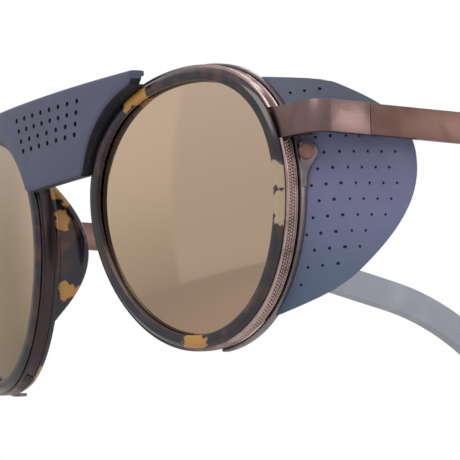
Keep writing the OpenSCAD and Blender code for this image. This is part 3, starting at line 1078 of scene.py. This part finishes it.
    def bend(self, bm: bmesh.types.BMesh, name: str, finish: Finish, thickness: float,
             nodes: Sequence[str]) -> bpy.types.Object:
        """Bends a flat sheet to the shield's shape and gives it its thickness.

        Args:
            bm: The flat sheet; it is freed.
            name: The piece's name.
            finish: The finish that it gets.
            thickness: Its thickness in millimetres, half on each side.
            nodes: The nodes that it stands for.

        Returns:
            The piece, which is attached to no body.
        """
        slice_mesh(bm, Vector((0, 1, 0)), 8.0, 36.0, self.cell)
        slice_mesh(bm, Vector((0, 0, 1)), -24.0, 24.0, self.cell)
        bmesh.ops.triangulate(bm, faces=bm.faces[:])
        for v in bm.verts:
            v.co.x = self.surface_x(v.co.y, v.co.z)
        sheet = finish_piece(bm, f"flat_{name}", front_matrix(self.side), finish, [])
        solid = sheet.modifiers.new("thickness", "SOLIDIFY")
        solid.thickness = thickness * MM
        solid.offset = 0.0
        solid.use_even_offset = True
        mesh = bpy.data.meshes.new_from_object(
            sheet.evaluated_get(bpy.context.evaluated_depsgraph_get()))
        piece = new_object(name, mesh)
        bpy.data.objects.remove(sheet)
        mesh.set_sharp_from_angle(angle=math.radians(40))
        if nodes:
            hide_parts(*nodes)
        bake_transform(piece)
        return piece

    def build(self) -> list[bpy.types.Object]:
        """Makes the punched leaf and, inside it, the thin dark sheet of painted shade that darkens its
        holes.
        """
        letter = self.side.letter
        nodes = [f"shield_front_{letter}", f"shield_flap_{letter}"]
        return [
            self.bend(self.punched(), f"leather_shield_{letter}", SHIELD_LEATHER,
                      self.thickness, nodes),
            self.bend(self.hole_shade_sheet(), f"shield_hole_shade_{letter}", HOLE_SHADE, self.hole_shade_thickness, []),
        ]


@dataclass
class ShieldBracket:
    """The strip that holds the leather's edge, with a lobe for the rivet."""

    side: Side
    rivet_angle: float = math.radians(14)
    rivet_share: float = 0.25
    rivet_turn: float = math.radians(-36)
    lobe_radius: float = 2.2
    lobe_from: float = 0.76
    lobe_thickness: float = 0.7
    lobe_tail: Section = ((0.72, -2.7), (0.1, -3.7), (-0.25, -4.8), (-0.5, -6.6), (-1.4, -6.8))
    lobe_root: tuple[float, float] = (-1.2, 1.6)
    strip: Section = ((2.82, 2.9), (3.5, 2.9), (3.5, 4.7), (2.82, 4.7))
    strip_from: float = math.radians(-85)
    strip_sweep: float = math.radians(175)

    def rivet_place(self) -> Matrix:
        """Returns the rivet's frame: its x axis points out through the rivet's head."""
        leaf = ShieldLeather(self.side)
        start = RIM.in_front(RIM.on_rim(self.rivet_angle, leaf.rim_out, leaf.rim_depth))
        y = start.y + (leaf.flat_y - start.y) * self.rivet_share
        place = Matrix.Translation((leaf.surface_x(y, start.z), y, start.z))
        return place @ Matrix.Rotation(self.rivet_turn, 4, "Z")

    def lobe(self) -> bmesh.types.BMesh:
        """Makes the lobe: a round end that flows down into the strip."""
        bm = bmesh.new()
        turn = [math.radians(120 - 10 * i) for i in range(18)]
        rounded = [Vector((0, self.lobe_radius * math.cos(a), self.lobe_radius * math.sin(a)))
                   for a in turn]
        flow = [Vector((0, y, z)) for y, z in (*self.lobe_tail, self.lobe_root)]
        face = outline_face(bm, rounded + flow)
        extrude_face(bm, face, Vector((self.lobe_thickness, 0, 0)))
        outer = [e for e in bm.edges if all(v.co.x > self.lobe_thickness - 1e-4 for v in e.verts)]
        bevel_edges(bm, outer, 0.12, 2)
        bmesh.ops.translate(bm, verts=bm.verts, vec=(self.lobe_from, 0, 0))
        bm.transform(RIM.placing().inverted() @ self.rivet_place())
        return bm

    def build(self) -> bpy.types.Object:
        """Makes the strip and joins the lobe to it."""
        strip = spin_on_rim(self.strip, 0.14, self.strip_from, self.strip_sweep)
        bm = join_shapes(strip, self.lobe(), Join.UNION)
        letter = self.side.letter
        piece = finish_piece(
            bm, f"shield_strip_{letter}", rim_matrix(self.side), DARK_BRONZE,
            [f"shield_bracket_{letter}"])
        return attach(piece, "front")


@dataclass
class BridgeCover:
    """The moulded cover over the bridge: a curved tray with a flange and rows of holes."""

    rim_gap: float = 2.6
    low: float = 9.9
    top: float = 28.0
    half_width: float = 28.8
    corner: float = 26.4
    front: float = -5.5
    depth: float = 2.8
    wall: float = 1.3
    curve: float = 185.0
    flange: float = 1.05
    flange_back: float = 5.8
    flange_from: float = 0.6
    flange_round: float = 0.3
    edge_round: float = 0.7
    side_from: int = 158
    side_to: int = 110
    hollow_to: int = 122
    slice_width: float = 2.0
    hole_rows: tuple = ((24.8, 11.8, 8), (22.6, 11.2, 8), (20.4, 10.6, 7), (18.3, 10.0, 7))
    hole_radius: float = 0.52

    def outline(self, inset: float, last: int) -> list[Vector]:
        """Returns the cover's outline, seen from the front, drawn in by an inset.

        Args:
            inset: How far the outline is drawn in from the cover's edge.
            last: The angle on the rim, in degrees, where the side leaves it.
        """
        angles = range(self.side_from, last - 1, -3)
        sides = [RIM.on_rim(math.radians(a), self.rim_gap + inset, 0) for a in angles]
        half = [Vector((RIM.lens_x + p.x * math.cos(RIM.wrap), 0, p.z)) for p in sides]
        half += [Vector((self.half_width - 2 * inset, 0, self.corner)),
                 Vector((self.half_width - 2 * inset, 0, self.top - inset))]
        half.insert(0, Vector((half[0].x - 0.8, 0, self.low + inset)))
        return half + [Vector((-p.x, 0, p.z)) for p in reversed(half)]

    def tray(self) -> bmesh.types.BMesh:
        """Makes the flat tray with a rounded front edge, its hollow and its flange."""
        bm = bmesh.new()
        face = outline_face(bm, self.outline(0, self.side_to))
        extrude_face(bm, face, Vector((0, self.depth, 0)))
        rim = [e for e in bm.edges if all(v.co.y < 1e-4 for v in e.verts)]
        bevel_edges(bm, rim, self.edge_round, 4)
        hollow = bmesh.new()
        face = outline_face(hollow, self.outline(self.wall, self.hollow_to))
        extrude_face(hollow, face, Vector((0, 2 * self.depth, 0)))
        bmesh.ops.translate(hollow, verts=hollow.verts, vec=(0, self.wall, 0))
        bm = join_shapes(bm, hollow, Join.DIFFERENCE)
        size = Vector((2 * self.half_width, self.flange_back - self.flange_from, self.flange))
        flange = box(size, (0, self.flange_from + size.y / 2, self.top - self.flange / 2))
        bevel_edges(flange, flange.edges[:], self.flange_round, 3)
        return join_shapes(bm, flange, Join.UNION)

    def punches(self) -> bmesh.types.BMesh:
        """Makes the punches for the rows of holes, each row spread evenly over its width."""
        bm = bmesh.new()
        for z, half, count in self.hole_rows:
            for i in range(count):
                x = -half + 2 * half * i / (count - 1)
                placing = Matrix.Translation((x, 0.5, z)) @ Matrix.Rotation(math.pi / 2, 4, "X")
                add_cylinder(bm, self.hole_radius, 4.0, placing, segments=20)
        return bm

    def build(self) -> bpy.types.Object:
        """Makes the tray, punches it and bends it to the front's curve."""
        bm = join_shapes(self.tray(), self.punches(), Join.DIFFERENCE)
        reach = 16 * self.slice_width
        slice_mesh(bm, Vector((1, 0, 0)), -reach, reach, self.slice_width)
        for v in bm.verts:
            past_tray = max(0.0, v.co.y - self.depth) / (self.flange_back - self.depth)
            v.co.y += self.front + v.co.x ** 2 / (2 * self.curve) * (1 - min(1.0, past_tray))
        piece = finish_piece(
            bm, "bridge_cover_leather", front_matrix(), COVER_LEATHER, ["bridge_cover"])
        # Painted shade: the side walls below the flange get the near-black finish, in place of the shade
        # that falls on them.
        piece.data.materials.append(EDGE_SHADE.material())
        below_flange = row_point(0, 0, self.top - self.flange).z
        for face in piece.data.polygons:
            faces_sideways = abs(face.normal.y) < 0.45
            if faces_sideways and face.center.z < below_flange:
                face.material_index = 1
        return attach(piece, "front")


@dataclass
class CoverGapShade:
    """A thin dark strip of painted shade that closes the gap between the bridge cover's side and a rim."""

    side: Side
    section: Section = ((2.62, -2.0), (3.08, -2.0), (3.08, -0.4), (2.62, -0.4))
    start: float = math.radians(111)
    sweep: float = math.radians(45)

    def build(self) -> bpy.types.Object:
        """Makes the strip of painted shade along the rim's upper inner quarter."""
        bm = spin_on_rim(self.section, 0.08, self.start, self.sweep)
        piece = finish_piece(
            bm, f"cover_gap_shade_{self.side.letter}", rim_matrix(self.side), EDGE_SHADE, [])
        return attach(piece, "front")


@dataclass
class Temple:
    """A temple with its sleeve, its half of the hinge, and the endpiece that carries it."""

    side: Side

    def build(self) -> list[bpy.types.Object]:
        """Makes the pieces from the nodes' own shapes, with broken edges."""
        letter, moving = self.side.letter, self.side.temple
        return [
            machined(f"{node}_{letter}", f"{name}_{letter}", body, finish, width, segments)
            for node, name, body, finish, slot, width, segments in (
                ("endpiece", "endpiece_plate", "front", SHADED_BRONZE, "bronze", 0.24, 3),
                ("temple", "temple_plate", moving, BRONZE, "bronze", 0.24, 3),
                ("temple_tip", "rubber_sleeve", moving, RUBBER, "sleeve", 1.1, 5),
                ("hinge_front", "hinge_clevis", "front", DARK_BRONZE, "steel", 0.08, 2),
                ("hinge_rear", "hinge_knuckle", moving, DARK_BRONZE, "steel", 0.08, 2),
            )
        ]


@dataclass
class Hardware:
    """The small metal parts: screws, rivets, washers, the rings' locks and the bridge bar."""

    edge: float = 0.07
    slot_size: tuple[float, float, float] = (3.0, 0.28, 0.5)

    def slotted(self, node: str, name: str, axis: Vector) -> bpy.types.Object:
        """Makes a screw from its node, with a driver's slot across its head.

        Args:
            node: The screw's node.
            name: The new piece's name.
            axis: The screw's direction, out of its head.

        Returns:
            The new object.
        """
        slot = box(self.slot_size)
        turned = axis.to_track_quat("Z", "Y").to_matrix().to_4x4()
        slot.transform(Matrix.Translation(self.head(node, axis)) @ turned)
        bm = join_shapes(node_copy(node), slot, Join.DIFFERENCE)
        piece = finish_piece(bm, name, Matrix.Scale(MM, 4), DARK_BRONZE, [node])
        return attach(piece, "front")

    def head(self, node: str, axis: Vector) -> Vector:
        """Returns the middle of a screw's outermost face along an axis, in millimetres."""
        points = [v.co / MM for v in frame["nodes"][node].data.vertices]
        far = max(p.dot(axis) for p in points)
        face = [p for p in points if p.dot(axis) > far - 0.02]
        return sum(face, Vector()) / len(face)

    def build(self) -> list[bpy.types.Object]:
        """Makes every small part."""
        pieces = [
            machined("bridge_bar", "bridge_bar_plate", "front", DARK_BRONZE, 0.2, 3),
            machined("bridge_studs", "bridge_rivets", "front", BRONZE, 0.15, 3),
        ]
        for side in Side:
            letter = side.letter
            pieces += [
                machined(f"{node}_{letter}", f"{name}_{letter}", "front", finish, width, segments)
                for node, name, finish, slot, width, segments in (
                    ("ring_lock", "ring_barrels", DARK_BRONZE, "steel", self.edge, 2),
                    ("shield_rivet", "copper_rivet", COPPER, "copper", 0.16, 4),
                    ("rivet_washer", "washer", DARK_BRONZE, "steel", self.edge, 2),
                )
            ]
            pieces += [
                self.slotted(f"{node}_{letter}", f"{name}_{letter}", axis)
                for node, name, axis in (("hinge_screw", "hinge_pin", self.hinge_axis(side)),
                                         ("lock_screw", "ring_screw", Vector((0, 0, -1))))
            ]
        return pieces

    @staticmethod
    def hinge_axis(side: Side) -> Vector:
        """Returns a hinge's axis, pointing up."""
        name = "left_hinge" if side is Side.LEFT else "right_hinge"
        axis = Vector(next(j for j in frame["joints"] if j["name"] == name)["axis"])
        return axis if axis.z > 0 else -axis


# ---------------------------------------------------------------------------------------------
# The studio
# ---------------------------------------------------------------------------------------------


@dataclass
class Studio:
    """The camera, the lights, the pale floor and the bright surroundings."""

    turn: float = math.radians(56.5)
    rise: float = math.radians(-7.2)
    roll: float = math.radians(4.9)
    distance: float = 749.0
    stand_point: tuple[float, float, float] = (35.0, 3.0, 0.0)
    aim_right: float = 8.79
    aim_up: float = -4.50
    lens: float = 302.0
    floor_drop: float = 0.10

    def camera(self) -> None:
        """Places the camera below the glasses, on the wearer's left, and aims it a little past them."""
        back = Vector((math.sin(self.turn) * math.cos(self.rise),
                       -math.cos(self.turn) * math.cos(self.rise), math.sin(self.rise)))
        level = Vector((math.cos(self.turn), math.sin(self.turn), 0))
        upright = back.cross(level)
        right = math.cos(self.roll) * level - math.sin(self.roll) * upright
        up = math.sin(self.roll) * level + math.cos(self.roll) * upright
        stand = row_point(*self.stand_point)
        eye = stand + back * self.distance * MM
        aim = stand + (right * self.aim_right + up * self.aim_up) * MM
        toward = (eye - aim).normalized()
        side = up.cross(toward).normalized()
        turned = Matrix((side, toward.cross(side), toward)).transposed()
        data = bpy.data.cameras.new("camera")
        data.lens = self.lens
        data.sensor_width = 36.0
        data.clip_start, data.clip_end = 0.01, 20.0
        camera = new_object("camera", data)
        camera.matrix_world = Matrix.Translation(eye) @ turned.to_4x4()
        bpy.context.scene.camera = camera

    def area(self, name: str, place: tuple, size: tuple, power: float, colour: tuple) -> None:
        """Adds a soft light that faces the glasses.

        Args:
            name: The light's name.
            place: Where it stands, in metres.
            size: Its width and height, in metres.
            power: Its power in watts.
            colour: Its colour.
        """
        data = bpy.data.lights.new(name, "AREA")
        data.shape = "RECTANGLE"
        data.size, data.size_y = size
        data.energy = power
        data.color = colour
        light = new_object(name, data)
        light.location = place
        toward = Vector((0, -0.05, 0.03)) - Vector(place)
        light.rotation_mode = "QUATERNION"
        light.rotation_quaternion = toward.to_track_quat("-Z", "Y")

    def floor(self) -> None:
        """Adds a plain pale floor well below the glasses."""
        bm = bmesh.new()
        bmesh.ops.create_grid(bm, x_segments=1, y_segments=1, size=3.0)
        bmesh.ops.translate(bm, verts=bm.verts, vec=(0, 0, -self.floor_drop))
        mesh = bpy.data.meshes.new("floor")
        bm.to_mesh(mesh)
        bm.free()
        material = bpy.data.materials.new("Pale_floor")
        material.use_nodes = True
        shader = material.node_tree.nodes["Principled BSDF"]
        shader.inputs["Base Color"].default_value = (0.62, 0.61, 0.60, 1)
        shader.inputs["Roughness"].default_value = 0.9
        mesh.materials.append(material)
        new_object("floor", mesh)

    def surroundings(self) -> None:
        """Makes the world white to the camera; the rest sees a dome with a panel and a shade."""
        world = bpy.data.worlds.new("studio")
        world.use_nodes = True
        bpy.context.scene.world = world
        graph = Graph(world.node_tree)
        shader = world.node_tree.nodes["Background"]
        way = graph.add("ShaderNodeTexCoord").outputs["Generated"]
        axes = graph.add("ShaderNodeSeparateXYZ", {0: way})
        upper = graph.ramp(axes.outputs["Z"], 0.2, 0.9)
        dome = graph.blend(upper, (0.69, 0.69, 0.70, 1), (0.95, 0.96, 1.0, 1))
        across = graph.add(
            "ShaderNodeVectorMath", {0: way, 1: (-0.82, 0.57, 0)}, operation="DOT_PRODUCT")
        panel = graph.blend(
            graph.ramp(axes.outputs["Z"], -0.05, 0.22), (0.56, 0.56, 0.55, 1), (0.79, 0.78, 0.76, 1))
        shade = graph.blend(
            graph.ramp(axes.outputs["Z"], 0.05, 0.45), (0.42, 0.42, 0.38, 1), (0.72, 0.76, 0.81, 1))
        near = graph.blend(graph.ramp(across.outputs["Value"], 0.02, 0.05), dome, panel)
        lit = graph.blend(graph.ramp(across.outputs["Value"], 0.40, 0.62), near, shade)
        seen = graph.add("ShaderNodeLightPath").outputs["Is Camera Ray"]
        colour = graph.blend(seen, lit, (1.0, 1.0, 1.0, 1))
        world.node_tree.links.new(colour, shader.inputs["Color"])
        shader.inputs["Strength"].default_value = 1.0

    def build(self) -> None:
        """Sets up the whole studio."""
        self.camera()
        self.floor()
        self.surroundings()
        self.area("key", (0.55, -0.9, 1.1), (0.9, 0.9), 8.0, (1.0, 0.98, 0.96))
        self.area("side", (0.235, 0.085, 0.064), (0.05, 0.08), 0.045, (1.0, 0.96, 0.94))
        self.area("back", (-0.5, 0.9, 0.7), (0.8, 0.8), 5.0, (0.95, 0.97, 1.0))
        bpy.context.scene.view_settings.view_transform = "Standard"


def main() -> None:
    """Builds the sub-assemblies in order and sets up the studio."""
    logging.basicConfig(level=logging.INFO, format="%(message)s")
    for side in Side:
        for maker in (MirroredLens, AcetateRim, BeadedRing, ShieldLeather, ShieldBracket,
                      CoverGapShade, Temple):
            made = maker(side).build()
            log.info("%s: %s", maker.__name__, made)
    log.info("bridge: %s", BridgeCover().build())
    log.info("hardware: %d pieces", len(Hardware().build()))
    Studio().build()


if __name__ == "__main__":
    main()
